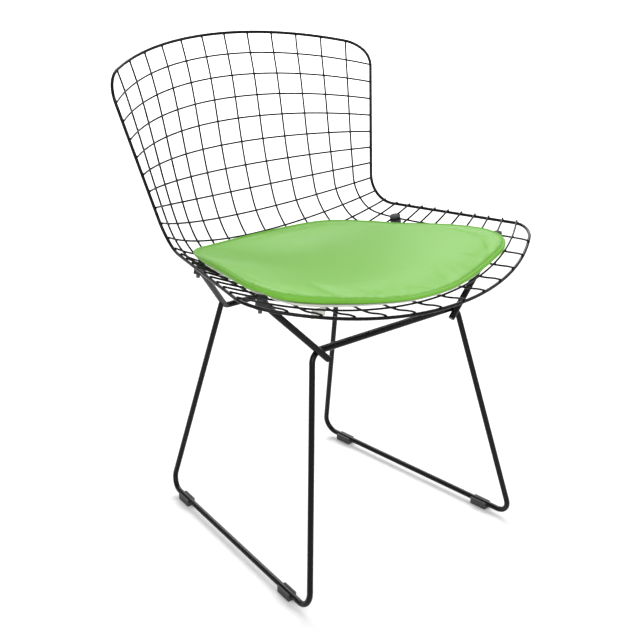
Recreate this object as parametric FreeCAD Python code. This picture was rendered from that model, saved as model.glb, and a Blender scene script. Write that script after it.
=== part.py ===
import FreeCAD, Part
import math
import os

Vec = FreeCAD.Vector

# Lengths in mm, angles in degrees. +Z is up, the front of the chair faces -Y, x = 0 is the
# mirror plane and the floor is z = 0.

# Wires and rods
mesh_wire_d = 3.0
rim_wire_d = 5.0
sled_rod_d = 9.0
support_rod_d = 10.0
weld_sink = 0.25            # how far two crossing wires melt into each other
rim_sink = 0.18             # how far the ends of the mesh melt into the rim they lie on
butt_sink = 0.42            # how far a wire end melts into the wire it meets
lengthwise_count = 12
crosswise_count = 20

# Middle line of the shell seen from the side, as (y, z), front rim to top rim
front_edge = (-270.0, 451.0)
seat_front = (-180.0, 446.0)
seat_low = (10.0, 420.0)
seat_rear = (130.0, 415.0)
back_foot = (204.0, 453.0)
back_low = (234.0, 508.0)
back_middle = (260.0, 601.0)
back_high = (288.0, 716.0)
top_edge = (304.0, 754.0)

# Corners of the rim on the right side before they are rounded, as (x, y, z)
front_corner = (275.6, -163.4, 486.5)
waist_corner = (204.5, 136.0, 473.0)
top_corner = (254.5, 201.5, 722.0)
front_corner_reach = 30.0
waist_reach = 46.0
top_corner_reach = 34.0
first_wire_inset = 24.0     # along the rim, from the front corner to the first crosswise wire
last_wire_inset = 32.0
top_rows = 4                # rows under the top rim that sit closer together
top_row_share = 0.9
back_end_growth = 0.02      # the wires spread a little more up the sides of the back
waist_squeeze = 0.11        # the outer cells narrow at the waist
waist_row = 12
wire_overhang = -0.8        # crosswise wires end just short of the rim's outer side
hook_turn = 55.0            # the front end of a lengthwise wire wraps over the rim

# Base: two sleds, crossbar, brace, two front arms and the rear support
glide_floor = 5.5           # plastic under the rod
run_front = (212.4, -218.4)
run_rear = (171.3, 218.8)
front_top = (143.3, -138.5, 374.0)
rear_bar = (109.0, 130.0, 356.0)
floor_bend_r = 22.0
crossbar_bend_r = 18.0
rear_bar_bend_r = 16.0
rear_leg_x = 121.0          # where the rear leg meets the rear support
arm_cross_x = 135.0         # where a front arm passes in front of the crossbar
arm_tail = 18.0
brace_below = 2.8           # the brace lies behind the crossbar and this much lower
brace_sink = 0.03           # how far crossbar and brace melt into each other

# Mounts that clamp the outermost lengthwise wire where a crosswise wire passes over it
front_mount_wire = 12
front_mount_row = 2
rear_mount_wire = 12
rear_mount_row = 9
mount_r = 9.0
mount_base_t = 10.4
mount_cap_rim_t = 2.2
mount_cap_dome = 2.0
mount_play = 0.1            # between a mount and the wires it clamps
mount_upright = 1.5         # 0 stands a mount square to the mesh, more turns it upright
screw_r = 1.6
screw_play = 0.1
screw_head_r = 3.0
screw_head_t = 4.5
screw_side = 4.0            # screw axis beside the clamped wire
screw_ahead = 4.6           # screw axis in front of the crosswise wire
arm_offset = 3.0            # arms aim inward of the middle of the base
front_arm_below = 5.8       # under the middle of the clamped wire
rear_arm_below = 8.5

# Glides
glide_length = 32.0
glide_width = 15.0
glide_top = 12.5
glide_front_at = 63.5       # from the front floor corner along the run
glide_rear_at = 53.0
glide_chamfer = 2.0

# Seat pad
pad_clear = 0.4             # over the crosswise wires
lining_t = 3.2
pad_edge_t = 13.0           # at the rim of the shell
pad_crown_t = 24.0          # in the middle
pad_round = 8.0             # the cover is drawn in over the top edge
# Plan outline of the pad as (x, y), anticlockwise from the front. It lies loose and a little
# slumped to the left, so its two sides are not mirror images.
pad_points = (
    (20.0, -234.0), (65.0, -230.0), (110.0, -219.0), (150.0, -207.0), (182.0, -196.0),
    (204.0, -175.0), (212.0, -138.0), (206.0, -97.0), (190.0, -38.0), (172.0, 22.0),
    (158.0, 76.0), (136.0, 120.0), (104.0, 152.0), (58.0, 170.0), (5.0, 176.0),
    (-45.0, 173.0), (-96.0, 160.0), (-144.0, 136.0), (-178.0, 109.0), (-197.0, 75.0),
    (-211.0, 30.0), (-225.0, -36.0), (-235.0, -99.0), (-228.0, -137.0), (-211.0, -166.0),
    (-180.0, -182.0), (-136.0, -198.0), (-87.0, -216.5), (-35.0, -230.5))
lining_inset = 8.5
lining_forward = 7.0        # the lining lies a little forward, to the left and turned
lining_aside = 3.0
lining_turn = 2.0
lining_gap = 0.1
cap_press = 0.6             # room the pressed-in caps leave in the underside
strap_x = (-181.0, -157.0)
strap_t = 1.2
strap_drop = 14.0
strap_lap = 0.2             # the strap is sewn this far up into the lining

mesh_r = mesh_wire_d / 2
rim_r = rim_wire_d / 2
sled_r = sled_rod_d / 2
support_r = support_rod_d / 2
run_z = glide_floor + sled_r
brace_behind = math.sqrt((sled_rod_d - brace_sink) ** 2 - brace_below ** 2)


def unit(v):
    return Vec(v).normalize()


def mirror(v):
    return Vec(-v.x, v.y, v.z)


def flip(shape):
    return shape.mirror(Vec(0, 0, 0), Vec(1, 0, 0))


def biggest(shape):
    """Main solid of a cut; offcuts past the joint are dropped."""
    return max(shape.Solids, key=lambda solid: solid.Volume)


def round_rod(edges, r):
    """Round rod along a chain of edges."""
    path = Part.Wire(edges)
    edge = path.OrderedEdges[0]
    start = edge.valueAt(edge.FirstParameter)
    along = edge.tangentAt(edge.FirstParameter)
    if edge.Orientation == "Reversed":
        start = edge.valueAt(edge.LastParameter)
        along = edge.tangentAt(edge.LastParameter) * -1
    ring = Part.Wire([Part.Circle(start, along, r).toShape()])
    return path.makePipeShell([ring], True, False)


def bent_path(points, radii):
    """Straight runs joined by round bends, one radius per inner corner."""
    edges = []
    here = points[0]
    for corner, after, r in zip(points[1:-1], points[2:], radii):
        back = unit(here - corner)
        ahead = unit(after - corner)
        half = back.getAngle(ahead) / 2
        reach = r / math.tan(half)
        start = corner + back * reach
        end = corner + ahead * reach
        middle = corner + unit(back + ahead) * (r / math.sin(half) - r)
        edges.append(Part.makeLine(here, start))
        edges.append(Part.Arc(start, middle, end).toShape())
        here = end
    edges.append(Part.makeLine(here, points[-1]))
    return edges


def arc_to(start, along, end, reverse=False):
    """Arc that leaves start in the given direction and ends at end, or the same run backwards."""
    first, last = (end, start) if reverse else (start, end)
    chord = end - start
    turn = along.getAngle(chord)
    if turn < 0.0005:
        return Part.makeLine(first, last)
    way = unit(chord)
    side = unit(along - way * along.dot(way))
    middle = (start + end) * 0.5 + side * (chord.Length / 2 * math.tan(turn / 2))
    return Part.Arc(first, middle, last).toShape()


def two_arcs(start, along_start, end, along_end):
    """Smooth joint of two arcs between two points with given directions."""
    gap = end - start
    both = gap.dot(along_start + along_end)
    bend = 2 * (1 - along_start.dot(along_end))
    if bend < 1e-9:
        reach = gap.dot(gap) / (2 * both)
    else:
        reach = (math.sqrt(both ** 2 + bend * gap.dot(gap)) - both) / bend
    middle = (start + end + (along_start - along_end) * reach) * 0.5
    return [arc_to(start, along_start, middle), arc_to(end, along_end * -1, middle, True)]


class Bow:
    """Arc across the chair through its middle point and its two ends at +x and -x."""

    def __init__(self, middle, end):
        self.middle = middle
        self.half = end.x
        rise = Vec(0, end.y - middle.y, end.z - middle.z)
        self.up = unit(rise)
        self.r = (end.x ** 2 + rise.Length ** 2) / (2 * rise.Length)

    def x_of(self, part):
        """Distance from the mirror plane at a share of the half arc."""
        return self.r * math.sin(math.asin(self.half / self.r) * part)

    def at(self, x, lift=0.0):
        turn = math.asin(x / self.r)
        r = self.r - lift
        return self.middle + Vec(r * math.sin(turn), 0, 0) + self.up * (self.r - r * math.cos(turn))

    def along(self, x):
        turn = math.asin(x / self.r)
        return Vec(math.cos(turn), 0, 0) + self.up * math.sin(turn)

    def inward(self, x):
        turn = math.asin(x / self.r)
        return Vec(-math.sin(turn), 0, 0) + self.up * math.cos(turn)

    def edge(self, reach):
        return Part.Arc(self.at(-reach), self.middle, self.at(reach)).toShape()


# The frame's origin is midway between the foremost and the rearmost wire
hook_reach = rim_r + mesh_wire_d - rim_sink
depth_middle = (front_edge[0] - hook_reach + top_edge[0] + rim_r) / 2

front_bow = Bow(Vec(0, *front_edge), Vec(*front_corner))
top_bow = Bow(Vec(0, *top_edge), Vec(*top_corner))


def spaced(edges, weights):
    """Points along a chain of edges with gaps in the given proportions."""
    lengths = [edge.Length for edge in edges]
    scale = sum(lengths) / sum(weights)
    points = []
    for n in range(len(weights) + 1):
        left = min(sum(weights[:n]) * scale, sum(lengths) - 1e-6)
        k = 0
        while left > lengths[k]:
            left -= lengths[k]
            k += 1
        points.append(edges[k].valueAt(edges[k].getParameterByLength(left)))
    return points


def middle_line():
    """Points of the shell's middle line, one for each crosswise wire."""
    curve = Part.BSplineCurve()
    profile = (front_edge, seat_front, seat_low, seat_rear, back_foot, back_low, back_middle,
               back_high, top_edge)
    curve.interpolate([Vec(0, y, z) for y, z in profile])
    gaps = crosswise_count + 1
    weights = [1.0] * (gaps - top_rows) + [top_row_share] * top_rows
    return spaced([curve.toShape()], weights)[1:-1]


def side_of_rim():
    """Right side of the rim from the front corner to the top corner: line, bend and line."""
    waist = Vec(*waist_corner)
    low = unit(waist - Vec(*front_corner))
    high = unit(Vec(*top_corner) - waist)
    start = Vec(*front_corner) + low * front_corner_reach
    end = Vec(*top_corner) - high * top_corner_reach
    in_waist = waist - low * waist_reach
    out_waist = waist + high * waist_reach
    return ([Part.makeLine(start, in_waist)] + two_arcs(in_waist, low, out_waist, high)
            + [Part.makeLine(out_waist, end)])


def rim_edges():
    """Right half of the rim from the middle of the front to the middle of the top."""
    side = side_of_rim()
    start = side[0].valueAt(side[0].FirstParameter)
    end = side[-1].valueAt(side[-1].LastParameter)
    low = unit(Vec(*waist_corner) - Vec(*front_corner))
    high = unit(Vec(*top_corner) - Vec(*waist_corner))
    front_x = front_corner[0] - front_corner_reach
    top_x = top_corner[0] - top_corner_reach
    front = Part.Arc(front_bow.middle, front_bow.at(front_x / 2), front_bow.at(front_x)).toShape()
    top = Part.Arc(top_bow.at(top_x), top_bow.at(top_x / 2), top_bow.middle).toShape()
    first = two_arcs(front_bow.at(front_x), front_bow.along(front_x), start, low)
    last = two_arcs(end, high, top_bow.at(top_x), top_bow.along(top_x) * -1)
    return [front] + first + side + last + [top]


def rim_stations():
    """Points on the right side of the rim where the crosswise wires land."""
    low = unit(Vec(*waist_corner) - Vec(*front_corner))
    high = unit(Vec(*top_corner) - Vec(*waist_corner))
    side = side_of_rim()
    first = Vec(*front_corner) + low * first_wire_inset
    last = Vec(*top_corner) - high * last_wire_inset
    chain = [Part.makeLine(first, side[0].valueAt(side[0].LastParameter)), side[1], side[2],
             Part.makeLine(side[3].valueAt(side[3].FirstParameter), last)]
    weights = [1 + back_end_growth * max(0, k + 1 - waist_row) for k in range(crosswise_count - 1)]
    return spaced(chain, weights)


def make_bows():
    """Arcs of the crosswise wires, front to top, lying on the sitting side of the rim."""
    middles = middle_line()
    ends = rim_stations()
    bows = []
    for k in range(crosswise_count):
        flat = Bow(middles[k], ends[k])
        rim_way = ends[min(k + 1, crosswise_count - 1)] - ends[max(k - 1, 0)]
        lift = unit(flat.along(ends[k].x).cross(rim_way))
        if lift.dot(flat.inward(ends[k].x)) < 0:
            lift = lift * -1
        bows.append(Bow(middles[k], ends[k] + lift * (mesh_r + rim_r - weld_sink)))
    return bows


bows = make_bows()


def share(wire):
    """Place of a lengthwise wire across the half width, -1 to 1, for wire numbers from 1."""
    middle = (lengthwise_count + 1) / 2
    return (wire - middle) / middle


def spread(row, part):
    """Share of the half arc at a row, with the outer cells squeezed at the waist."""
    squeeze = waist_squeeze * max(0.0, 1 - abs(row - waist_row) / 8)
    return part + squeeze * (part - part ** 3)


def station(row):
    """Bow at a fractional row; row 1 is the first crosswise wire."""
    k = min(max(int(math.floor(row)), 1), crosswise_count - 1)
    t = row - k
    a, b = bows[k - 1], bows[k]
    end_a, end_b = a.at(a.half), b.at(b.half)
    return Bow(a.middle + (b.middle - a.middle) * t, end_a + (end_b - end_a) * t)


def sitting_normal(row, part):
    """Normal of the shell towards the sitter at a row and a share of the half width."""
    here = station(row)
    x = here.x_of(spread(row, part))
    before, after = station(row - 0.5), station(row + 0.5)
    way = after.at(after.x_of(spread(row, part))) - before.at(before.x_of(spread(row, part)))
    normal = unit(here.along(x).cross(way))
    return normal if normal.dot(here.inward(x)) > 0 else normal * -1


def wire_point(row, part):
    """Centre of a lengthwise wire under the crosswise wires."""
    here = station(row)
    drop = mesh_wire_d - weld_sink
    return here.at(here.x_of(spread(row, part))) - sitting_normal(row, part) * drop


def crosswise_wire(k):
    bow = bows[k]
    return round_rod([bow.edge(bow.half + wire_overhang + rim_r)], mesh_r)


def lengthwise_wire(part):
    """Wire hooked over the front rim, running under all crosswise wires to the top rim."""
    points = [wire_point(row, part) for row in range(1, crosswise_count + 1)]
    x = bows[0].x_of(part)
    rim = front_bow.at(x)
    way = unit(points[0] - rim)
    lift = unit(front_bow.along(x).cross(way))
    if lift.z < 0:
        lift = lift * -1
    spread_r = mesh_r + rim_r - rim_sink
    turn = math.radians(hook_turn)
    hook = [rim + (lift * math.cos(a) - way * math.sin(a)) * spread_r for a in (turn, turn / 2, 0)]
    top = top_bow.at(top_bow.x_of(part))
    top = top + unit(points[-1] - top) * (rim_r - butt_sink)
    points = [hook[2]] + points + [top]
    curve = Part.BSplineCurve()
    curve.interpolate(points)
    ways = [unit(Vec(*curve.tangent(curve.parameter(point))[0])) for point in points]
    ways[0] = way
    edges = [Part.Arc(*hook).toShape()]
    for k in range(len(points) - 1):
        edges += two_arcs(points[k], ways[k], points[k + 1], ways[k + 1])
    return round_rod(edges, mesh_r)


def rim_wire():
    right = rim_edges()
    left = [flip(edge) for edge in right]
    return round_rod(Part.sortEdges(right + left)[0], rim_r)


def mount_frame(row, wire):
    """Centre of the clamped wire, its direction, the mount's own axis and the side direction."""
    part = share(wire)
    centre = wire_point(row, part)
    along = unit(wire_point(row + 0.3, part) - wire_point(row - 0.3, part))
    leaning = unit(sitting_normal(row, part) + Vec(0, 0, mount_upright))
    up = unit(leaning - along * leaning.dot(along))
    return centre, along, up, unit(along.cross(up))


def turned(outline, foot, up):
    """Round part turned from half its section, given as (radius, height) edges' face."""
    shape = Part.Face(Part.Wire(outline)).revolve(Vec(0, 0, 0), Vec(0, 0, 1), 360)
    shape.Placement = FreeCAD.Placement(foot, FreeCAD.Rotation(Vec(0, 0, 1), up))
    return shape


def dome_outline():
    """Half section of the cap: a short skirt under a low dome."""
    top = mount_cap_rim_t + mount_cap_dome
    dome_r = (mount_r ** 2 + mount_cap_dome ** 2) / (2 * mount_cap_dome)
    half = math.asin(mount_r / dome_r) / 2
    on_dome = Vec(dome_r * math.sin(half), 0, top - dome_r + dome_r * math.cos(half))
    foot, edge = Vec(mount_r, 0, 0), Vec(mount_r, 0, mount_cap_rim_t)
    return [Part.makeLine(Vec(0, 0, 0), foot), Part.makeLine(foot, edge),
            Part.Arc(edge, on_dome, Vec(0, 0, top)).toShape(),
            Part.makeLine(Vec(0, 0, top), Vec(0, 0, 0))]


def mount_parts(row, wire):
    """Base under the wire, cap with a groove over the crossing, and the screw in both."""
    centre, along, up, side = mount_frame(row, wire)
    grip = mesh_r + mount_play
    base_top = centre - up * grip
    base = Part.makeCylinder(mount_r, mount_base_t, base_top, up * -1)
    cap = turned(dome_outline(), centre + up * grip, up)
    axis = base_top + side * screw_side - along * screw_ahead - up * mount_base_t
    shank = mount_base_t + 2 * grip + mount_cap_rim_t
    hole = Part.makeCylinder(screw_r + screw_play, shank, axis, up)
    screw = Part.makeCylinder(screw_r, shank, axis, up)
    head = Part.makeCylinder(screw_head_r, screw_head_t, axis, up * -1)
    bow = bows[row - 1]
    groove = round_rod([bow.edge(bow.half)], grip)
    base, cap = [biggest(half.cut(hole).cut(groove)) for half in (base, cap)]
    return base, cap, screw.fuse(head).removeSplitter()


def mount_target(row, wire, below):
    """Point inside a mount's base that an arm aims at."""
    centre, along, up, side = mount_frame(row, wire)
    inner = -1 if side.x > 0 else 1
    return centre - up * below + side * (inner * arm_offset)


def rear_support_path():
    bar = Vec(*rear_bar)
    mount = mount_target(rear_mount_row, rear_mount_wire, rear_arm_below)
    points = [mirror(mount), mirror(bar), bar, mount]
    return bent_path(points, [rear_bar_bend_r, rear_bar_bend_r])


def leg_seat():
    """Point on the rear support's right arm that the rear leg is welded to."""
    bar = Vec(*rear_bar)
    mount = mount_target(rear_mount_row, rear_mount_wire, rear_arm_below)
    return bar + (mount - bar) * ((rear_leg_x - bar.x) / (mount.x - bar.x))


def sled():
    top = Vec(*front_top)
    points = [leg_seat(), Vec(run_rear[0], run_rear[1], run_z), Vec(run_front[0], run_front[1], run_z),
              top, Vec(0, top.y, top.z)]
    edges = bent_path(points, [floor_bend_r, floor_bend_r, crossbar_bend_r])
    return round_rod(edges[:-1], sled_r)


def crossbar_reach():
    """Distance along the crossbar from its corner to the end of the bend."""
    top = Vec(*front_top)
    down = unit(Vec(run_front[0], run_front[1], run_z) - top)
    half = down.getAngle(Vec(-1, 0, 0)) / 2
    return crossbar_bend_r / math.tan(half)


def crossbar(behind, below):
    half = front_top[0] - crossbar_reach()
    start = Vec(-half, front_top[1] + behind, front_top[2] - below)
    return Part.makeCylinder(sled_r, 2 * half, start, Vec(1, 0, 0))


def front_arm():
    """Straight arm that crosses in front of the crossbar and rises to the front mount."""
    mount = mount_target(front_mount_row, front_mount_wire, front_arm_below)
    bar = Vec(arm_cross_x, front_top[1], front_top[2])
    spread = sled_r + support_r - weld_sink
    cross = bar
    for _ in range(8):
        way = unit(mount - cross)
        ahead = unit(Vec(1, 0, 0).cross(way))
        if ahead.y > 0:
            ahead = ahead * -1
        cross = bar + ahead * spread
    start = cross - way * arm_tail
    return Part.makeCylinder(support_r, start.distanceToPoint(mount), start, way)


def glide(distance, from_rear):
    """Plastic saddle under a floor run with a groove for the rod."""
    front = Vec(run_front[0], run_front[1], 0)
    rear = Vec(run_rear[0], run_rear[1], 0)
    along = unit(rear - front)
    centre = rear - along * distance if from_rear else front + along * distance
    block = Part.makeBox(glide_length, glide_width, glide_top,
                         Vec(-glide_length / 2, -glide_width / 2, 0))
    lower = [e for e in block.Edges if e.BoundBox.ZMax < 0.01]
    block = block.makeChamfer(glide_chamfer, lower)
    uprights = [e for e in block.Edges if e.BoundBox.ZLength > glide_top / 2]
    block = block.makeFillet(glide_chamfer, uprights)
    groove = Part.makeCylinder(sled_r, glide_length * 2, Vec(-glide_length, 0, run_z), Vec(1, 0, 0))
    slot = Part.makeBox(glide_length * 2, sled_rod_d, glide_top, Vec(-glide_length, -sled_r, run_z))
    block = block.cut(groove.fuse(slot))
    turn = math.degrees(math.atan2(along.y, along.x))
    block.rotate(Vec(0, 0, 0), Vec(0, 0, 1), turn)
    block.translate(centre)
    return block


def pad_outline(inset):
    """Plan outline of the pad as a face, a smooth closed chain of arcs."""
    points = [Vec(x, y, 0) for x, y in pad_points]
    count = len(points)
    ways = [unit(points[(k + 1) % count] - points[k - 1]) for k in range(count)]
    edges = []
    for k in range(count):
        after = (k + 1) % count
        edges += two_arcs(points[k], ways[k], points[after], ways[after])
    face = Part.Face(Part.Wire(edges))
    if inset:
        face = face.makeOffset2D(-inset)
    return face


def lifted(row, part, lift):
    """Point above the middle of the mesh at a row and a share of the half width."""
    here = station(row)
    return here.at(here.x_of(part)) + sitting_normal(row, part) * lift


def pad_layer(below, edge_above, middle_above, outline):
    """Slab over the crosswise wires between two lifts, cut to a plan outline."""
    sections = []
    for row in (0.2, 1, 2, 3, 4, 5, 6, 7, 8, 9, 10, 11, 12, 12.6):
        low_left, low_mid, low_right = [lifted(row, part, below) for part in (-0.97, 0, 0.97)]
        top_left, top_right = lifted(row, -0.97, edge_above), lifted(row, 0.97, edge_above)
        top_mid = lifted(row, 0, middle_above)
        sections.append(Part.Wire([
            Part.Arc(low_left, low_mid, low_right).toShape(), Part.makeLine(low_right, top_right),
            Part.Arc(top_right, top_mid, top_left).toShape(), Part.makeLine(top_left, low_left)]))
    slab = Part.makeLoft(sections, True, False)
    outline.translate(Vec(0, 0, front_edge[1] - 120))
    return slab.common(outline.extrude(Vec(0, 0, 260))).removeSplitter()


def drawn_in(pad):
    """Pad with its top edge rounded all the way round."""
    faces = sorted(pad.Faces, key=lambda face: face.Area)[-2:]
    top = max(faces, key=lambda face: face.CenterOfMass.z)
    return pad.makeFillet(pad_round, top.OuterWire.Edges)


def cap_room(row, wire):
    """Space around a mount's cap that is kept out of the pad."""
    centre, along, up, side = mount_frame(row, wire)
    height = mesh_r + mount_play + mount_cap_rim_t + mount_cap_dome + cap_press
    return Part.makeCylinder(mount_r + cap_press, height, centre, up)


def pad_strap(lining, outline):
    """Short cloth strap that hangs from the front of the lining between two wires."""
    width = strap_x[1] - strap_x[0]
    middle = (strap_x[0] + strap_x[1]) / 2
    ray = Part.makeLine(Vec(middle, -400, 0), Vec(middle, 0, 0)).common(outline)
    front_y = min(vertex.Y for vertex in ray.Vertexes) + 2 * strap_t
    post = Part.makeBox(width, strap_t, 400, Vec(strap_x[0], front_y, front_edge[1] - 200))
    inside = post.common(lining)
    low_z = min(vertex.Z for vertex in inside.Vertexes)
    return Part.makeBox(width, strap_t, strap_drop,
                        Vec(strap_x[0], front_y, low_z + strap_lap - strap_drop))


def save(name, shape):
    """Write one sub-part, moved so that the depth is centred on the origin."""
    shape = shape.copy()
    shape.translate(Vec(0, -depth_middle, 0))
    shape.exportStep(os.path.join("parts", name + ".step"))


os.makedirs("parts", exist_ok=True)
for k in range(crosswise_count):
    save("crosswise_wire_%02d" % (k + 1), crosswise_wire(k))
for wire in range(1, lengthwise_count + 1):
    save("lengthwise_wire_%02d" % wire, lengthwise_wire(share(wire)))
save("rim_wire", rim_wire())

rear_support = round_rod(rear_support_path(), support_r)
arm = front_arm()
leg = biggest(sled().cut(rear_support))
for place, row, wire in (("front", front_mount_row, front_mount_wire),
                         ("rear", rear_mount_row, rear_mount_wire)):
    base, cap, screw = mount_parts(row, wire)
    if place == "front":
        arm = biggest(arm.cut(base).cut(screw))
    else:
        for tool in (base, screw, flip(base), flip(screw)):
            rear_support = biggest(rear_support.cut(tool))
    for part_name, shape in (("mount_base", base), ("mount_cap", cap), ("mount_screw", screw)):
        save("%s_%s_right" % (part_name, place), shape)
        save("%s_%s_left" % (part_name, place), flip(shape))

save("right_sled", leg)
save("left_sled", flip(leg))
save("front_crossbar", crossbar(0, 0))
save("front_brace_bar", crossbar(brace_behind, brace_below))
save("right_front_arm", arm)
save("left_front_arm", flip(arm))
save("rear_support_rod", rear_support)
for place, distance, from_rear in (("front", glide_front_at, False), ("rear", glide_rear_at, True)):
    shape = glide(distance, from_rear)
    save("glide_%s_right" % place, shape)
    save("glide_%s_left" % place, flip(shape))

low = mesh_r + pad_clear
lining_face = pad_outline(lining_inset)
lining_face.rotate(Vec(0, 0, 0), Vec(0, 0, 1), lining_turn)
lining_face.translate(Vec(-lining_aside, -lining_forward, 0))
lining = pad_layer(low, low + lining_t, low + lining_t, lining_face.copy())
cover = drawn_in(pad_layer(low + lining_t + lining_gap, low + pad_edge_t, low + pad_crown_t,
                           pad_outline(0)))
for row, wire in ((front_mount_row, front_mount_wire), (rear_mount_row, rear_mount_wire)):
    room = cap_room(row, wire)
    for tool in (room, flip(room)):
        lining = biggest(lining.cut(tool))
        cover = biggest(cover.cut(tool))
save("pad_lining", lining)
save("seat_pad", cover)
save("pad_strap", pad_strap(lining, lining_face))
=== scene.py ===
"""Wire mesh dining chair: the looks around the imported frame, laid out as an add-on."""
import math

import bpy
import numpy as np
from mathutils import Matrix, Vector, geometry
from mathutils.bvhtree import BVHTree


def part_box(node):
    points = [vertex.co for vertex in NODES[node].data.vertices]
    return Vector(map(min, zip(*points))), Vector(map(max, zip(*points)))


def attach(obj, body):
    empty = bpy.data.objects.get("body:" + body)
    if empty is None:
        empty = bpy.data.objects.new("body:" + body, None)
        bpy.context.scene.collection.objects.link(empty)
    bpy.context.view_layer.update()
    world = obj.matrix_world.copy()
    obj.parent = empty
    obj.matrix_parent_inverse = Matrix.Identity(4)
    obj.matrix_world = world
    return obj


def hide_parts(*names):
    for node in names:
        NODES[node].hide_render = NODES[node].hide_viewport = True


bl_info = {
    "name": "Wire Mesh Chair",
    "version": (1, 0, 0),
    "blender": (4, 5, 0),
    "location": "View3D > Sidebar > Chair",
    "description": "Coats the wire frame and upholsters the seat pad of a wire mesh dining chair",
    "category": "Add Mesh",
}

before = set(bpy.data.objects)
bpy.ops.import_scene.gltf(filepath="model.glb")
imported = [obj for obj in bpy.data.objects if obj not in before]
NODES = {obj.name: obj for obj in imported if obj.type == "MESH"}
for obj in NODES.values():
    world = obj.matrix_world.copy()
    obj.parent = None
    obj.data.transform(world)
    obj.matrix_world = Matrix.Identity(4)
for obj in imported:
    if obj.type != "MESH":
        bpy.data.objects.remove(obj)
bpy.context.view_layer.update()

# The pad's points and the camera are counted from a line this far in front of the middle of
# the depth, in metres
DEPTH_MIDDLE = 0.015825
# Outline of the pad seen from above, in metres, anticlockwise from the front. It follows the
# CAD pad's outline and is a few millimetres fuller at the front left corner.
PAD_OUTLINE = (
    (0.020, -0.234), (0.065, -0.230), (0.110, -0.219), (0.150, -0.207), (0.182, -0.196),
    (0.204, -0.175), (0.212, -0.138), (0.206, -0.097), (0.190, -0.038), (0.172, 0.022),
    (0.158, 0.076), (0.136, 0.120), (0.104, 0.152), (0.058, 0.170), (0.005, 0.176),
    (-0.045, 0.173), (-0.096, 0.160), (-0.144, 0.136), (-0.178, 0.109), (-0.197, 0.075),
    (-0.211, 0.030), (-0.225, -0.036), (-0.236, -0.099), (-0.232, -0.139), (-0.215, -0.171),
    (-0.181, -0.188), (-0.136, -0.200), (-0.087, -0.2165), (-0.035, -0.2305))

MESH_WIRES = [n for n in sorted(NODES) if "wise_wire" in n or n == "rim_wire"]
RODS = ["left_sled", "right_sled", "front_crossbar", "front_brace_bar", "left_front_arm",
        "right_front_arm", "rear_support_rod"]
MOUNTS = [n for n in sorted(NODES) if n.startswith(("mount_base", "mount_cap"))]
SCREWS = [n for n in sorted(NODES) if n.startswith("mount_screw")]
GLIDES = [n for n in sorted(NODES) if n.startswith("glide")]


# Settings

class MetalSettings(bpy.types.PropertyGroup):
    coat_colour: bpy.props.FloatVectorProperty(
        name="Coat", description="Colour of the black coating on wires and rods",
        subtype="COLOR", size=3, min=0, max=1, default=(0.0042, 0.0042, 0.0046))
    coat_roughness: bpy.props.FloatProperty(
        name="Roughness", description="How dull the coating is", min=0, max=1, default=0.27)
    bead_radius: bpy.props.FloatProperty(
        name="Weld bead", description="Radius of the weld where two wires cross",
        unit="LENGTH", min=0.001, max=0.004, default=0.00205)
    plastic_colour: bpy.props.FloatVectorProperty(
        name="Glides", description="Colour of the floor glides",
        subtype="COLOR", size=3, min=0, max=1, default=(0.030, 0.029, 0.031))
    mount_colour: bpy.props.FloatVectorProperty(
        name="Mounts", description="Colour of the mounts under the seat",
        subtype="COLOR", size=3, min=0, max=1, default=(0.012, 0.012, 0.013))


class PadSettings(bpy.types.PropertyGroup):
    cover_colour: bpy.props.FloatVectorProperty(
        name="Cover", description="Colour of the vinyl cover",
        subtype="COLOR", size=3, min=0, max=1, default=(0.170, 0.455, 0.048))
    thread_colour: bpy.props.FloatVectorProperty(
        name="Thread", description="Colour of the stitches",
        subtype="COLOR", size=3, min=0, max=1, default=(0.16, 0.42, 0.06))
    felt_colour: bpy.props.FloatVectorProperty(
        name="Lining", description="Colour of the felt lining and the strap",
        subtype="COLOR", size=3, min=0, max=1, default=(0.66, 0.66, 0.60))
    band_height: bpy.props.FloatProperty(
        name="Band", description="Height of the side band up to the seam",
        unit="LENGTH", min=0.004, max=0.02, default=0.0094)
    crown_height: bpy.props.FloatProperty(
        name="Crown", description="Height of the middle of the pad over its underside",
        unit="LENGTH", min=0.01, max=0.04, default=0.0195)
    seam_depth: bpy.props.FloatProperty(
        name="Seam depth", description="How far the seam is drawn in",
        unit="LENGTH", min=0, max=0.004, default=0.0024)
    lining_thickness: bpy.props.FloatProperty(
        name="Lining", description="Thickness of the felt under the pad",
        unit="LENGTH", min=0.001, max=0.006, default=0.0031)
    lining_inset: bpy.props.FloatProperty(
        name="Lining inset", description="How much narrower the felt is than the pad",
        unit="LENGTH", min=0, max=0.02, default=0.0085)
    lining_forward: bpy.props.FloatProperty(
        name="Lining forward", description="How far the felt has crept to the front",
        unit="LENGTH", min=0, max=0.02, default=0.007)
    lining_aside: bpy.props.FloatProperty(
        name="Lining aside", description="How far the felt has crept to the left",
        unit="LENGTH", min=0, max=0.02, default=0.003)
    lining_turn: bpy.props.FloatProperty(
        name="Lining turn", description="How far the felt is turned on the seat",
        unit="ROTATION", min=0, max=0.1, default=0.0349)
    stitch_length: bpy.props.FloatProperty(
        name="Stitch", description="Length from one stitch to the next",
        unit="LENGTH", min=0.002, max=0.01, default=0.0042)


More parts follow.
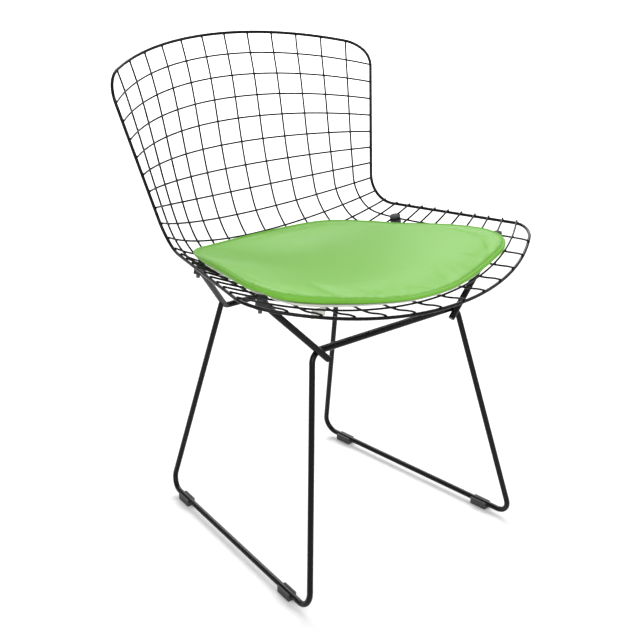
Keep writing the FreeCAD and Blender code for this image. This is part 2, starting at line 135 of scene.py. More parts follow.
class StageSettings(bpy.types.PropertyGroup):
    floor_colour: bpy.props.FloatVectorProperty(
        name="Floor", description="Colour of the floor", subtype="COLOR", size=3, min=0, max=1,
        default=(0.95, 0.95, 0.95))
    camera_place: bpy.props.FloatVectorProperty(
        name="Camera", description="Place of the camera", subtype="TRANSLATION", size=3,
        default=(-1.0833, -1.3259 - DEPTH_MIDDLE, 1.0410))
    camera_way: bpy.props.FloatVectorProperty(
        name="Aim", description="Direction the camera looks in", subtype="DIRECTION", size=3,
        default=(0.580, 0.722, -0.377))
    lens: bpy.props.FloatProperty(
        name="Lens", description="Focal length on a 36 mm sensor", unit="CAMERA",
        min=10, max=200, default=65.62)
    sky: bpy.props.FloatProperty(
        name="Room light", description="Strength of the even light from all sides",
        min=0, max=5, default=0.62)


# Node groups

def new_group(name, inputs, outputs):
    group = bpy.data.node_groups.new(name, "ShaderNodeTree")
    for label, kind, value in inputs:
        socket = group.interface.new_socket(label, in_out="INPUT", socket_type=kind)
        socket.default_value = value
    for label, kind in outputs:
        group.interface.new_socket(label, in_out="OUTPUT", socket_type=kind)
    return group, group.nodes.new("NodeGroupInput"), group.nodes.new("NodeGroupOutput")


def link(tree, source, target):
    tree.links.new(source, target)


def maths(tree, kind, a, b=None):
    """Math node on sockets or numbers; returns its output."""
    node = tree.nodes.new("ShaderNodeMath")
    node.operation = kind
    for k, value in enumerate((a, b)):
        if value is None:
            continue
        if isinstance(value, (int, float)):
            node.inputs[k].default_value = value
        else:
            link(tree, value, node.inputs[k])
    return node.outputs[0]


def tone_drift_group():
    """Slow and fine change of a colour over a surface."""
    group, given, out = new_group(
        "tone_drift",
        [("Vector", "NodeSocketVector", (0, 0, 0)), ("Colour", "NodeSocketColor", (.5, .5, .5, 1)),
         ("Scale", "NodeSocketFloat", 8.0), ("Amount", "NodeSocketFloat", 0.1)],
        [("Colour", "NodeSocketColor"), ("Mask", "NodeSocketFloat")])
    noise = group.nodes.new("ShaderNodeTexNoise")
    noise.inputs["Detail"].default_value = 5
    noise.inputs["Roughness"].default_value = 0.6
    link(group, given.outputs["Vector"], noise.inputs["Vector"])
    link(group, given.outputs["Scale"], noise.inputs["Scale"])
    centred = maths(group, "SUBTRACT", noise.outputs["Fac"], 0.5)
    swing = maths(group, "MULTIPLY", centred, given.outputs["Amount"])
    value = maths(group, "ADD", maths(group, "MULTIPLY", swing, 2.0), 1.0)
    shade = group.nodes.new("ShaderNodeHueSaturation")
    link(group, value, shade.inputs["Value"])
    link(group, given.outputs["Colour"], shade.inputs["Color"])
    link(group, shade.outputs["Color"], out.inputs["Colour"])
    link(group, noise.outputs["Fac"], out.inputs["Mask"])
    return group


def coat_skin_group():
    """Fine dimples of a sprayed or moulded skin as a normal."""
    group, given, out = new_group(
        "coat_skin",
        [("Vector", "NodeSocketVector", (0, 0, 0)), ("Scale", "NodeSocketFloat", 900.0),
         ("Depth", "NodeSocketFloat", 0.15)],
        [("Normal", "NodeSocketVector"), ("Mask", "NodeSocketFloat")])
    noise = group.nodes.new("ShaderNodeTexNoise")
    noise.inputs["Detail"].default_value = 3
    link(group, given.outputs["Vector"], noise.inputs["Vector"])
    link(group, given.outputs["Scale"], noise.inputs["Scale"])
    bump = group.nodes.new("ShaderNodeBump")
    bump.inputs["Distance"].default_value = 0.0004
    link(group, noise.outputs["Fac"], bump.inputs["Height"])
    link(group, given.outputs["Depth"], bump.inputs["Strength"])
    link(group, bump.outputs["Normal"], out.inputs["Normal"])
    link(group, noise.outputs["Fac"], out.inputs["Mask"])
    return group


def vinyl_grain_group():
    """Pebbled grain of a coated cloth with faint creases, as a normal and a mask."""
    group, given, out = new_group(
        "vinyl_grain",
        [("Vector", "NodeSocketVector", (0, 0, 0)), ("Scale", "NodeSocketFloat", 650.0),
         ("Depth", "NodeSocketFloat", 0.2), ("Crease", "NodeSocketFloat", 0.1)],
        [("Normal", "NodeSocketVector"), ("Mask", "NodeSocketFloat")])
    cells = group.nodes.new("ShaderNodeTexVoronoi")
    cells.feature = "DISTANCE_TO_EDGE"
    link(group, given.outputs["Vector"], cells.inputs["Vector"])
    link(group, given.outputs["Scale"], cells.inputs["Scale"])
    pebble = maths(group, "MINIMUM", maths(group, "MULTIPLY", cells.outputs["Distance"], 3.0), 0.6)
    creases = group.nodes.new("ShaderNodeTexNoise")
    creases.inputs["Scale"].default_value = 26
    creases.inputs["Detail"].default_value = 4
    creases.inputs["Distortion"].default_value = 1.4
    link(group, given.outputs["Vector"], creases.inputs["Vector"])
    fine = group.nodes.new("ShaderNodeBump")
    fine.inputs["Distance"].default_value = 0.0005
    link(group, pebble, fine.inputs["Height"])
    link(group, given.outputs["Depth"], fine.inputs["Strength"])
    wide = group.nodes.new("ShaderNodeBump")
    wide.inputs["Distance"].default_value = 0.004
    link(group, creases.outputs["Fac"], wide.inputs["Height"])
    link(group, given.outputs["Crease"], wide.inputs["Strength"])
    link(group, wide.outputs["Normal"], fine.inputs["Normal"])
    link(group, fine.outputs["Normal"], out.inputs["Normal"])
    link(group, pebble, out.inputs["Mask"])
    return group


def cloth_weave_group():
    """Crossing threads with loose fibres, as a normal and a mask."""
    group, given, out = new_group(
        "cloth_weave",
        [("Vector", "NodeSocketVector", (0, 0, 0)), ("Scale", "NodeSocketFloat", 420.0),
         ("Depth", "NodeSocketFloat", 0.5)],
        [("Normal", "NodeSocketVector"), ("Mask", "NodeSocketFloat")])
    threads = []
    for direction in ("X", "Y"):
        wave = group.nodes.new("ShaderNodeTexWave")
        wave.bands_direction = direction
        wave.inputs["Distortion"].default_value = 1.5
        wave.inputs["Detail"].default_value = 2
        link(group, given.outputs["Vector"], wave.inputs["Vector"])
        link(group, given.outputs["Scale"], wave.inputs["Scale"])
        threads.append(wave.outputs["Fac"])
    woven = maths(group, "MULTIPLY", threads[0], threads[1])
    fibres = group.nodes.new("ShaderNodeTexNoise")
    fibres.inputs["Scale"].default_value = 1500
    fibres.inputs["Detail"].default_value = 6
    link(group, given.outputs["Vector"], fibres.inputs["Vector"])
    height = maths(group, "ADD", woven, fibres.outputs["Fac"])
    bump = group.nodes.new("ShaderNodeBump")
    bump.inputs["Distance"].default_value = 0.0006
    link(group, height, bump.inputs["Height"])
    link(group, given.outputs["Depth"], bump.inputs["Strength"])
    link(group, bump.outputs["Normal"], out.inputs["Normal"])
    link(group, height, out.inputs["Mask"])
    return group


GROUP_MAKERS = {"tone_drift": tone_drift_group, "coat_skin": coat_skin_group,
                "vinyl_grain": vinyl_grain_group, "cloth_weave": cloth_weave_group}


def placed_group(tree, name, **values):
    """Node that uses a shared group with its own values; the group is made on first use."""
    group = bpy.data.node_groups.get(name) or GROUP_MAKERS[name]()
    node = tree.nodes.new("ShaderNodeGroup")
    node.node_tree = group
    for label, value in values.items():
        node.inputs[label].default_value = value
    return node


def new_material(name, colour, drift, drift_scale, skin, rough, rough_swing, settings):
    """Principled material with colour drift and one skin group."""
    material = bpy.data.materials.new(name)
    material.use_nodes = True
    tree = material.node_tree
    shader = tree.nodes["Principled BSDF"]
    place = tree.nodes.new("ShaderNodeTexCoord").outputs["Object"]
    tone = placed_group(tree, "tone_drift", Colour=(*colour, 1), Scale=drift_scale, Amount=drift)
    link(tree, place, tone.inputs["Vector"])
    link(tree, tone.outputs["Colour"], shader.inputs["Base Color"])
    group_name, values = skin
    grain = placed_group(tree, group_name, **values)
    link(tree, place, grain.inputs["Vector"])
    link(tree, grain.outputs["Normal"], shader.inputs["Normal"])
    swing = maths(tree, "MULTIPLY", maths(tree, "SUBTRACT", tone.outputs["Mask"], 0.5), rough_swing)
    link(tree, maths(tree, "ADD", swing, rough), shader.inputs["Roughness"])
    for label, value in settings.items():
        shader.inputs[label].default_value = value
    return material


def black_coat():
    metal = bpy.context.scene.chair_metal
    return bpy.data.materials.get("satin_black_coat") or new_material(
        "satin_black_coat", metal.coat_colour, 0.18, 30.0,
        ("coat_skin", {"Scale": 700.0, "Depth": 0.10}), metal.coat_roughness, 0.16,
        {"Specular IOR Level": 0.16, "Coat Weight": 0.0})


def moulded_plastic(name, colour):
    return bpy.data.materials.get(name) or new_material(
        name, colour, 0.12, 60.0, ("coat_skin", {"Scale": 1400.0, "Depth": 0.28}), 0.52, 0.14,
        {"Specular IOR Level": 0.45})


def dark_steel():
    return bpy.data.materials.get("blackened_steel") or new_material(
        "blackened_steel", (0.09, 0.09, 0.095), 0.2, 200.0,
        ("coat_skin", {"Scale": 2200.0, "Depth": 0.2}), 0.36, 0.2, {"Metallic": 1.0})


def green_vinyl():
    pad = bpy.context.scene.chair_pad
    return bpy.data.materials.get("green_vinyl") or new_material(
        "green_vinyl", pad.cover_colour, 0.035, 7.0,
        ("vinyl_grain", {"Scale": 620.0, "Depth": 0.16, "Crease": 0.10}), 0.43, 0.10,
        {"Specular IOR Level": 0.14, "Coat Weight": 0.03, "Coat Roughness": 0.35})


def sewing_thread():
    pad = bpy.context.scene.chair_pad
    return bpy.data.materials.get("sewing_thread") or new_material(
        "sewing_thread", pad.thread_colour, 0.1, 300.0,
        ("cloth_weave", {"Scale": 2500.0, "Depth": 0.4}), 0.6, 0.1, {"Sheen Weight": 0.2})


def white_felt():
    pad = bpy.context.scene.chair_pad
    return bpy.data.materials.get("white_felt") or new_material(
        "white_felt", pad.felt_colour, 0.12, 40.0,
        ("cloth_weave", {"Scale": 260.0, "Depth": 0.7}), 0.9, 0.1,
        {"Sheen Weight": 0.3, "Specular IOR Level": 0.2})


# Helpers

def clear_selection():
    if bpy.context.mode != "OBJECT":
        bpy.ops.object.mode_set(mode="OBJECT")
    bpy.ops.object.select_all(action="DESELECT")


def use_material(piece, material):
    piece.data.materials.clear()
    piece.data.materials.append(material)


def coat_nodes(names, material):
    for name in names:
        node = NODES[name]
        for slot in node.material_slots:
            slot.material = material
        if not node.material_slots:
            node.data.materials.append(material)


def new_piece(name, points, faces):
    """Mesh object from points and faces, placed in its mesh."""
    data = bpy.data.meshes.new(name)
    data.from_pydata([tuple(p) for p in points], [], faces)
    data.update()
    piece = bpy.data.objects.new(name, data)
    bpy.context.scene.collection.objects.link(piece)
    return piece


def make_active(piece):
    clear_selection()
    piece.select_set(True)
    bpy.context.view_layer.objects.active = piece


def apply_modifiers(piece):
    make_active(piece)
    for modifier in list(piece.modifiers):
        bpy.ops.object.modifier_apply(modifier=modifier.name)


def smooth(piece):
    make_active(piece)
    bpy.ops.object.shade_smooth()


def merged_copies(name, template, places):
    """One piece made of copies of a small mesh, each moved by its own matrix."""
    source = np.array([v.co for v in template.vertices])
    faces = [list(p.vertices) for p in template.polygons]
    points, loops = [], []
    for k, matrix in enumerate(places):
        m = np.array(matrix)
        points.append(source @ m[:3, :3].T + m[:3, 3])
        loops += [[i + k * len(source) for i in face] for face in faces]
    return new_piece(name, np.vstack(points), loops)


def node_tree_of(name):
    """Search tree, points and triangles of a CAD node."""
    mesh = NODES[name].data
    mesh.calc_loop_triangles()
    points = [v.co.copy() for v in mesh.vertices]
    triangles = [tuple(t.vertices) for t in mesh.loop_triangles]
    return BVHTree.FromPolygons(points, triangles), points, triangles


# Two hits closer than this belong to the same weld
WELD_REACH = 0.009


def crossings(first, second):
    """Middle points of the places where two CAD nodes melt into each other."""
    tree_a, points_a, tris_a = first
    tree_b, points_b, tris_b = second
    hits = []
    for i, j in tree_a.overlap(tree_b):
        a = [points_a[k] for k in tris_a[i]]
        b = [points_b[k] for k in tris_b[j]]
        for one, other in ((a, b), (b, a)):
            for k in range(3):
                start, end = one[k], one[(k + 1) % 3]
                hit = geometry.intersect_ray_tri(*other, end - start, start, True)
                if hit is not None and (hit - start).length <= (end - start).length:
                    hits.append(hit)
    groups = []
    for hit in hits:
        for group in groups:
            if (group[0] - hit).length < WELD_REACH:
                group.append(hit)
                break
        else:
            groups.append([hit])
    return [sum(group, Vector()) / len(group) for group in groups]


# Metal and plastic

class CHAIR_OT_coat_metal(bpy.types.Operator):
    """Give the wires, rods and screws their black finish"""
    bl_idname = "chair.coat_metal"
    bl_label = "Coat Metal"

    def execute(self, context):
        coat_nodes(MESH_WIRES + RODS, black_coat())
        coat_nodes(SCREWS, dark_steel())
        return {"FINISHED"}


class CHAIR_OT_finish_plastic(bpy.types.Operator):
    """Give the glides and mounts their moulded plastic"""
    bl_idname = "chair.finish_plastic"
    bl_label = "Finish Plastic"

    def execute(self, context):
        metal = context.scene.chair_metal
        coat_nodes(GLIDES, moulded_plastic("glide_plastic", metal.plastic_colour))
        coat_nodes(MOUNTS, moulded_plastic("mount_plastic", metal.mount_colour))
        return {"FINISHED"}


class CHAIR_OT_weld_beads(bpy.types.Operator):
    """Add a small weld bead wherever two wires of the mesh meet"""
    bl_idname = "chair.weld_beads"
    bl_label = "Weld Beads"

    def execute(self, context):
        radius = context.scene.chair_metal.bead_radius
        trees = {name: node_tree_of(name) for name in MESH_WIRES}
        lengthwise = [n for n in MESH_WIRES if n.startswith("lengthwise")]
        places = []
        for name in MESH_WIRES:
            others = [] if name == "rim_wire" else ["rim_wire"]
            if name.startswith("crosswise"):
                others = lengthwise + others
            for other in others:
                places += crossings(trees[name], trees[other])
        clear_selection()
        bpy.ops.mesh.primitive_ico_sphere_add(subdivisions=2, radius=radius)
        bead = context.active_object
        piece = merged_copies("weld_beads", bead.data, [Matrix.Translation(p) for p in places])
        bpy.data.objects.remove(bead)
        use_material(piece, black_coat())
        smooth(piece)
        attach(piece, "chair")
        return {"FINISHED"}


# Pad shapes

def closed_outline(points, count):
    """Smooth closed curve through points, as count even steps along its length."""
    p = np.array(points)
    steps = np.linspace(0, 1, 24, endpoint=False)[:, None]
    dense = []
    for k in range(len(p)):
        a, b, c, d = p[k - 1], p[k], p[(k + 1) % len(p)], p[(k + 2) % len(p)]
        dense.append(0.5 * (2 * b + (c - a) * steps + (2 * a - 5 * b + 4 * c - d) * steps ** 2
                            + (3 * b - a - 3 * c + d) * steps ** 3))
    dense = np.vstack(dense)
    for _ in range(6):
        dense = (np.roll(dense, 1, 0) + 2 * dense + np.roll(dense, -1, 0)) / 4
    ring = np.vstack([dense, dense[:1]])
    length = np.concatenate([[0], np.cumsum(np.linalg.norm(np.diff(ring, axis=0), axis=1))])
    at = np.linspace(0, length[-1], count, endpoint=False)
    return np.stack([np.interp(at, length, ring[:, k]) for k in (0, 1)], 1)


def inward_normals(ring):
    way = np.roll(ring, -1, 0) - np.roll(ring, 1, 0)
    way /= np.linalg.norm(way, axis=1)[:, None]
    return np.stack([-way[:, 1], way[:, 0]], 1)


class UnderSurface:
    """Smooth surface fitted to the underside of the CAD pad."""
    DEGREE = 6

    def __init__(self):
        tree = node_tree_of("seat_pad")[0]
        low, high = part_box("seat_pad")
        places, heights = [], []
        for x in np.linspace(low.x, high.x, 70):
            for y in np.linspace(low.y, high.y, 64):
                hit = tree.ray_cast(Vector((x, y, low.z - 0.05)), Vector((0, 0, 1)))
                if hit[0] is not None and hit[1].z < -0.3:
                    places.append((x, y))
                    heights.append(hit[0].z)
        places, heights = np.array(places), np.array(heights)
        keep = np.ones(len(heights), bool)
        for _ in range(4):
            terms = self.terms(places[keep])
            self.weights = np.linalg.lstsq(terms, heights[keep], rcond=None)[0]
            off = np.abs(self.terms(places) @ self.weights - heights)
            keep = off < max(0.0006, 3 * np.median(off))

    def terms(self, at):
        x, y = at[:, 0] / 0.25, at[:, 1] / 0.25
        return np.stack([x ** i * y ** j for i in range(self.DEGREE + 1)
                         for j in range(self.DEGREE + 1 - i)], 1)

    def height(self, at):
        return self.terms(at) @ self.weights

    def lifted(self, at, lift):
        """Heights of the points that lie lift above the surface, measured square to it."""
        step = 0.002
        slope_x = (self.height(at + [step, 0]) - self.height(at - [step, 0])) / (2 * step)
        slope_y = (self.height(at + [0, step]) - self.height(at - [0, step])) / (2 * step)
        return self.height(at) + lift * np.sqrt(1 + slope_x ** 2 + slope_y ** 2)


# A mount's cap pushes the pad up by this much, over this radius, and fades out in this length
CAP_PUSH = 0.0045
CAP_PUSH_RADIUS = 0.0108
CAP_PUSH_FADE = 0.0014


def cap_rise(at):
    """How far the underside is pushed up by the caps of the mounts."""
    rise = np.zeros(len(at))
    for name in MOUNTS:
        if name.startswith("mount_cap"):
            low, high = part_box(name)
            away = np.hypot(at[:, 0] - (low.x + high.x) / 2, at[:, 1] - (low.y + high.y) / 2)
            fade = 1 + np.exp((away - CAP_PUSH_RADIUS) / CAP_PUSH_FADE)
            rise = np.maximum(rise, CAP_PUSH / fade)
    return rise


# Where the pad is thin: the middle of the front, which is sat flat, and the left rear corner.
# Each is place, reach and the share of the thickness that is lost there.
THIN_PLACES = (((-0.02, -0.25), (0.13, 0.05), 0.46), ((-0.197, 0.075), (0.045, 0.06), 0.5))


def settled(at):
    """Share of its full thickness that the pad keeps."""
    share = np.ones(len(at))
    for (x, y), (reach_x, reach_y), lost in THIN_PLACES:
        away = ((at[:, 0] - x) / reach_x) ** 2 + ((at[:, 1] - y) / reach_y) ** 2
        share -= lost * np.exp(-away)
    return share


# Soft creases in the cover: place of the middle, half length and direction, in m and degrees
CREASES = ((0.026, -0.203, 0.020, -88), (-0.027, -0.190, 0.024, -64), (0.092, -0.190, 0.012, -96),
           (-0.066, -0.207, 0.010, -98), (-0.032, -0.205, 0.012, -104), (0.056, -0.204, 0.014, -80),
           (0.126, -0.178, 0.012, -70), (-0.002, -0.212, 0.010, -60))


CREASE_RISE = 0.0010


def crease_height(at):
    """Low ridges with a dip beside them where the cover is slack."""
    height = np.zeros(len(at))
    for x, y, half, turn in CREASES:
        c, s = math.cos(math.radians(turn)), math.sin(math.radians(turn))
        dx, dy = at[:, 0] - x, at[:, 1] - y + DEPTH_MIDDLE
        along, over = dx * c + dy * s, dy * c - dx * s
        shape = np.exp(-(over / 0.0034) ** 2) - 0.8 * np.exp(-((over + 0.0065) / 0.0045) ** 2)
        height += CREASE_RISE * shape * np.exp(-(along / half) ** 4)
    return height


def patch(ring, count):
    """Even grid inside a closed ring of 4 * count points, without a pole."""
    sides = [np.array([ring[(side * count + k) % (4 * count)] for k in range(count + 1)])
             for side in range(4)]
    south, east, north, west = sides[0], sides[1], sides[2][::-1], sides[3][::-1]
    u = np.linspace(0, 1, count + 1)[:, None, None]
    v = np.linspace(0, 1, count + 1)[None, :, None]
    grid = ((1 - v) * south[:, None] + v * north[:, None] + (1 - u) * west[None] + u * east[None]
            - (1 - u) * (1 - v) * south[0] - u * (1 - v) * south[-1]
            - (1 - u) * v * north[0] - u * v * north[-1])
    return grid


def pad_mesh(name, outline, count, profile, under, middle_low, middle_high):
    """Closed pad. profile lists (inset, lift, cap share) from the last underside ring up and
    over the band to the first ring of the top; both ends are closed by even grids."""
    total = 4 * count
    normals = inward_normals(outline)
    rings = [outline + normals * inset for inset, lift, share in profile]
    points = []
    for ring, (inset, lift, share) in zip(rings, profile):
        z = under.lifted(ring, lift * settled(ring)) + cap_rise(ring) * share
        points += [(*p, h) for p, h in zip(ring, z)]
    faces = []
    for r in range(len(rings) - 1):
        for k in range(total):
            n = (k + 1) % total
            faces.append((r * total + k, r * total + n, (r + 1) * total + n, (r + 1) * total + k))
    for ring_number, lift_of, share in ((0, middle_low, 1.0), (len(rings) - 1, middle_high, 0.0)):
        grid = patch(rings[ring_number], count)
        edge = [ring_number * total + k for k in range(total)]
        index = np.zeros((count + 1, count + 1), int)
        for k in range(count + 1):
            index[k, 0] = edge[k]
            index[count, k] = edge[(count + k) % total]
            index[count - k, count] = edge[(2 * count + k) % total]
            index[0, count - k] = edge[(3 * count + k) % total]
        inner = grid[1:-1, 1:-1].reshape(-1, 2)
        near = np.sqrt(((inner[:, None] - rings[ring_number][None]) ** 2).sum(2)).min(1)
        z = under.lifted(inner, lift_of(near) * settled(inner)) + cap_rise(inner) * share
        start = len(points)
        points += [(*p, h) for p, h in zip(inner, z)]
        for a in range(1, count):
            for b in range(1, count):
                index[a, b] = start + (a - 1) * (count - 1) + (b - 1)
        for a in range(count):
            for b in range(count):
                face = (index[a, b], index[a + 1, b], index[a + 1, b + 1], index[a, b + 1])
                faces.append(face if ring_number else face[::-1])
    return new_piece(name, points, faces), points, rings


# Frames that the cloth is left to swell for, and the most that a point may move
SWELL_FRAMES = 20
SWELL_MOST = 0.0013


def puff_up(piece, free_weights, most):
    """Let cloth with a little spare fabric swell under pressure, but no further than most."""
    pinned = piece.vertex_groups.new(name="sewn")
    for k, weight in enumerate(free_weights):
        pinned.add([k], float(1 - weight), "REPLACE")
    before = np.array([v.co for v in piece.data.vertices])
    cloth = piece.modifiers.new("cloth", "CLOTH")
    settings = cloth.settings
    settings.quality = 6
    settings.mass = 0.25
    settings.tension_stiffness = 12
    settings.compression_stiffness = 12
    settings.shear_stiffness = 6
    settings.bending_stiffness = 1.2
    settings.use_pressure = True
    settings.uniform_pressure_force = 2.2
    settings.shrink_min = -0.012
    settings.vertex_group_mass = "sewn"
    settings.effector_weights.gravity = 0
    cloth.collision_settings.use_collision = False
    scene = bpy.context.scene
    for number in range(1, SWELL_FRAMES + 1):
        scene.frame_set(number)
    make_active(piece)
    bpy.ops.object.modifier_apply(modifier=cloth.name)
    scene.frame_set(1)
    after = np.array([v.co for v in piece.data.vertices])
    move = after - before
    length = np.linalg.norm(move, axis=1)
    held = most * np.tanh(length / most) / np.maximum(length, 1e-9)
    after = before + move * np.where(length > 1e-7, held, 1)[:, None]
    piece.data.vertices.foreach_set("co", after.ravel())
    piece.data.update()
    piece.vertex_groups.clear()


class CHAIR_OT_seat_cover(bpy.types.Operator):
    """Upholster the seat pad: band, drawn-in seam, crowned top and stitches"""
    bl_idname = "chair.seat_cover"
    bl_label = "Seat Cover"

    def execute(self, context):
        pad = context.scene.chair_pad
        count = 54
        outline = closed_outline([(x, y - DEPTH_MIDDLE) for x, y in PAD_OUTLINE], 4 * count)
        outline = np.roll(outline, 22, 0)
        under = UnderSurface()
        seam, crown, tuck = pad.band_height, pad.crown_height, pad.seam_depth
        profile = [
            (0.0200, 0.0002, 1.0), (0.0120, 0.0002, 1.0), (0.0060, 0.0003, 1.0),
            (0.0026, 0.0006, 0.6), (0.0010, 0.0016, 0.3), (0.0003, seam * 0.34, 0.0),
            (0.0003, seam * 0.62, 0.0), (0.0010, seam * 0.86, 0.0), (0.0022, seam * 0.99, 0.0),
            (0.0034, seam * 1.0 - tuck * 0.7, 0.0), (0.0046, seam * 1.01 - tuck * 0.7, 0.0),
            (0.0058, seam * 1.05, 0.0), (0.0072, seam * 1.10, 0.0), (0.0098, seam * 1.15, 0.0),
            (0.0140, seam * 1.20, 0.0), (0.0200, seam * 1.25, 0.0)]

        def top_lift(near):
            rim = seam * 1.25
            return rim + (crown - rim) * (1 - np.exp(-near / 0.032))

        piece, points, rings = pad_mesh("seat_cover", outline, count, profile, under,
                                        lambda near: 0.0002 + 0 * near, top_lift)
        total = 4 * count
        free = np.zeros(len(points))
        for r in range(11, 16):
            free[r * total:(r + 1) * total] = (0.0, 0.25, 0.6, 0.85, 1.0)[r - 11]
        free[len(points) - (count - 1) ** 2:] = 1.0
        for r in (5, 6):
            free[r * total:(r + 1) * total] = 0.5
        puff_up(piece, free, SWELL_MOST)
        co = np.array([v.co for v in piece.data.vertices])
        co[:, 2] += crease_height(co[:, :2]) * (free > 0.5)
        piece.data.vertices.foreach_set("co", co.ravel())
        piece.data.update()
        subdivision = piece.modifiers.new("round", "SUBSURF")
        subdivision.levels = subdivision.render_levels = 1
        apply_modifiers(piece)
        use_material(piece, green_vinyl())
        smooth(piece)
        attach(piece, "pad")
        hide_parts("seat_pad")
        self.stitches(co, total, pad.stitch_length)
        return {"FINISHED"}

    def stitches(self, co, total, step):
        """Short thread bars sewn along the seam on the top panel."""
        first, second = co[12 * total:13 * total], co[13 * total:14 * total]
        line = first * 0.7 + second * 0.3
        up = np.cross(np.roll(line, -1, 0) - np.roll(line, 1, 0), second - first)
        up /= np.linalg.norm(up, axis=1)[:, None]
        up *= np.sign(up[:, 2])[:, None]
        ring = np.vstack([line, line[:1]])
        lift = np.vstack([up, up[:1]])
        length = np.concatenate([[0], np.cumsum(np.linalg.norm(np.diff(ring, axis=0), axis=1))])
        number = int(length[-1] / step)
        at = (np.arange(number) + 0.5) * length[-1] / number
        half = step * 0.36
        clear_selection()
        bpy.ops.mesh.primitive_uv_sphere_add(segments=8, ring_count=6, radius=1)
        bar = bpy.context.active_object
        places = []
        for s in at:
            ends = [Vector([np.interp((s + d) % length[-1], length, ring[:, k]) for k in range(3)])
                    for d in (-half, half)]
            rise = Vector([np.interp(s, length, lift[:, k]) for k in range(3)]).normalized()
            way = (ends[1] - ends[0]).normalized()
            side = rise.cross(way).normalized()
            rise = way.cross(side)
            middle = (ends[0] + ends[1]) / 2 + rise * 0.0001
            places.append(Matrix((
                (way.x * half, side.x * 0.00042, rise.x * 0.00036, middle.x),
                (way.y * half, side.y * 0.00042, rise.y * 0.00036, middle.y),
                (way.z * half, side.z * 0.00042, rise.z * 0.00036, middle.z), (0, 0, 0, 1))))
        piece = merged_copies("cover_stitches", bar.data, places)
        bpy.data.objects.remove(bar)
        use_material(piece, sewing_thread())
        smooth(piece)
        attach(piece, "pad")


class CHAIR_OT_felt_lining(bpy.types.Operator):
    """Lay the felt lining between the pad and the wires"""
    bl_idname = "chair.felt_lining"
    bl_label = "Felt Lining"

    def execute(self, context):
        pad = context.scene.chair_pad
        count = 40
        outline = closed_outline([(x, y - DEPTH_MIDDLE) for x, y in PAD_OUTLINE], 4 * count)
        outline = np.roll(outline, 16, 0)
        outline = outline + inward_normals(outline) * pad.lining_inset
        c, s = math.cos(pad.lining_turn), math.sin(pad.lining_turn)
        x, y = outline[:, 0], outline[:, 1] + DEPTH_MIDDLE
        outline = np.stack([x * c - y * s - pad.lining_aside,
                            x * s + y * c - pad.lining_forward - DEPTH_MIDDLE], 1)
        turns = np.linspace(0, 2 * math.pi, 4 * count, endpoint=False)
        wave = 0.0005 * np.sin(17 * turns) + 0.0004 * np.sin(31 * turns + 1)
        outline = outline + inward_normals(outline) * wave[:, None]
        under = UnderSurface()
        low = -pad.lining_thickness
        profile = [(0.012, low, 1.0), (0.004, low, 1.0), (0.0010, low + 0.0002, 1.0),
                   (0.0002, low + 0.0009, 1.0), (0.0, low * 0.5, 1.0), (0.0003, -0.0006, 1.0),
                   (0.0012, -0.0001, 1.0), (0.006, 0.0, 1.0), (0.012, 0.0, 1.0)]
        piece, points, rings = pad_mesh("felt_lining", outline, count, profile, under,
                                        lambda near: low + 0 * near, lambda near: 0 * near)
        use_material(piece, white_felt())
        smooth(piece)
        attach(piece, "pad")
        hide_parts("pad_lining")
        return {"FINISHED"}


class CHAIR_OT_cloth_strap(bpy.types.Operator):
    """Hang the short cloth strap from the front of the lining"""
    bl_idname = "chair.cloth_strap"
    bl_label = "Cloth Strap"

    def execute(self, context):
        low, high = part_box("pad_strap")
        clear_selection()
        bpy.ops.mesh.primitive_cube_add(size=1, location=(low + high) / 2, scale=high - low)
        piece = context.active_object
        piece.name = "cloth_strap"
        bpy.ops.object.transform_apply(location=True, rotation=True, scale=True)
        bpy.ops.object.mode_set(mode="EDIT")
        bpy.ops.mesh.select_all(action="SELECT")
        bpy.ops.mesh.subdivide(number_cuts=9)
        bpy.ops.object.mode_set(mode="OBJECT")
        tall, wide = high.z - low.z, high.x - low.x
        for v in piece.data.vertices:
            down = (high.z - v.co.z) / tall
            across = (v.co.x - low.x) / wide
            v.co.y += 0.0016 * math.sin(down * 2.4) - 0.0005 * math.sin(across * 5) * down
            hem = 1.35 if down > 0.78 else 1.0
            middle = (low.y + high.y) / 2
            v.co.y = middle + (v.co.y - middle) * hem
        bevel = piece.modifiers.new("edge", "BEVEL")
        bevel.width = 0.0003
        bevel.segments = 2
        bevel.limit_method = "ANGLE"
        apply_modifiers(piece)
        use_material(piece, white_felt())
        smooth(piece)
        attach(piece, "pad")
        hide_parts("pad_strap")
        return {"FINISHED"}


# Stage

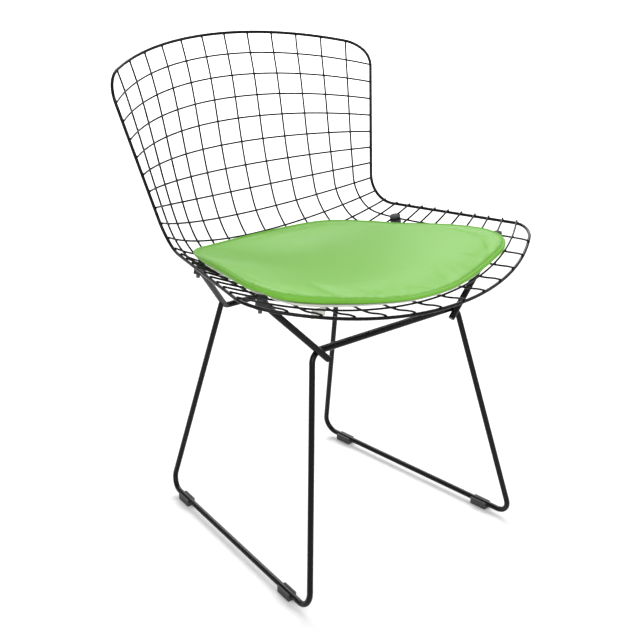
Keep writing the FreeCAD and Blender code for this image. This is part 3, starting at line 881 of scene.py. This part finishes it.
class CHAIR_OT_stage(bpy.types.Operator):
    """Add the floor, the soft lights and the camera"""
    bl_idname = "chair.stage"
    bl_label = "Stage"

    def execute(self, context):
        stage = context.scene.chair_stage
        clear_selection()
        bpy.ops.mesh.primitive_plane_add(size=40)
        floor = context.active_object
        floor.name = "studio_floor"
        use_material(floor, new_material(
            "pale_floor", stage.floor_colour, 0.01, 2.0,
            ("coat_skin", {"Scale": 300.0, "Depth": 0.02}), 0.6, 0.05,
            {"Specular IOR Level": 0.2}))
        world = bpy.data.worlds.new("studio")
        world.use_nodes = True
        world.node_tree.nodes["Background"].inputs["Color"].default_value = (1, 1, 1, 1)
        world.node_tree.nodes["Background"].inputs["Strength"].default_value = stage.sky
        context.scene.world = world
        for name, place, size, power, aim in (
                ("key_light", (-1.5, -2.0, 1.7), 1.8, 34, (0, 0, 0.4)),
                ("fill_light", (2.2, -1.4, 1.6), 1.2, 10, (0, 0, 0.4)),
                ("back_light", (0.6, 2.4, 2.2), 1.6, 12, (0, 0, 0.4)),
                ("floor_light", (3.4, 4.2, 4.0), 5.0, 460, (3.6, 4.4, 0))):
            data = bpy.data.lights.new(name, "AREA")
            data.shape = "DISK"
            data.size = size
            data.energy = power
            light = bpy.data.objects.new(name, data)
            light.location = place
            way = Vector(aim) - Vector(place)
            light.rotation_euler = way.to_track_quat("-Z", "Y").to_euler()
            context.scene.collection.objects.link(light)
        data = bpy.data.cameras.new("photo_camera")
        data.lens = stage.lens
        data.sensor_width = 36
        data.sensor_fit = "HORIZONTAL"
        camera = bpy.data.objects.new("photo_camera", data)
        camera.location = stage.camera_place
        camera.rotation_euler = Vector(stage.camera_way).to_track_quat("-Z", "Y").to_euler()
        context.scene.collection.objects.link(camera)
        context.scene.camera = camera
        context.scene.view_settings.view_transform = "Standard"
        return {"FINISHED"}


class CHAIR_PT_sidebar(bpy.types.Panel):
    """Sizes, colours and pieces of the chair"""
    bl_idname = "CHAIR_PT_sidebar"
    bl_label = "Wire Mesh Chair"
    bl_space_type = "VIEW_3D"
    bl_region_type = "UI"
    bl_category = "Chair"

    def draw(self, context):
        for settings in (context.scene.chair_metal, context.scene.chair_pad,
                         context.scene.chair_stage):
            box = self.layout.box()
            for label in settings.__annotations__:
                box.prop(settings, label)
        for operator in OPERATORS:
            self.layout.operator(operator.bl_idname)


SETTINGS = {"chair_metal": MetalSettings, "chair_pad": PadSettings, "chair_stage": StageSettings}
OPERATORS = (CHAIR_OT_coat_metal, CHAIR_OT_finish_plastic, CHAIR_OT_weld_beads,
             CHAIR_OT_seat_cover, CHAIR_OT_felt_lining, CHAIR_OT_cloth_strap, CHAIR_OT_stage)


def register():
    for cls in (*SETTINGS.values(), *OPERATORS, CHAIR_PT_sidebar):
        bpy.utils.register_class(cls)
    for label, cls in SETTINGS.items():
        setattr(bpy.types.Scene, label, bpy.props.PointerProperty(type=cls))


def unregister():
    for label in SETTINGS:
        delattr(bpy.types.Scene, label)
    for cls in (CHAIR_PT_sidebar, *OPERATORS[::-1], *list(SETTINGS.values())[::-1]):
        bpy.utils.unregister_class(cls)


def main():
    register()
    bpy.ops.chair.coat_metal()
    bpy.ops.chair.finish_plastic()
    bpy.ops.chair.weld_beads()
    bpy.ops.chair.seat_cover()
    bpy.ops.chair.felt_lining()
    bpy.ops.chair.cloth_strap()
    bpy.ops.chair.stage()


if __name__ == "__main__":
    main()
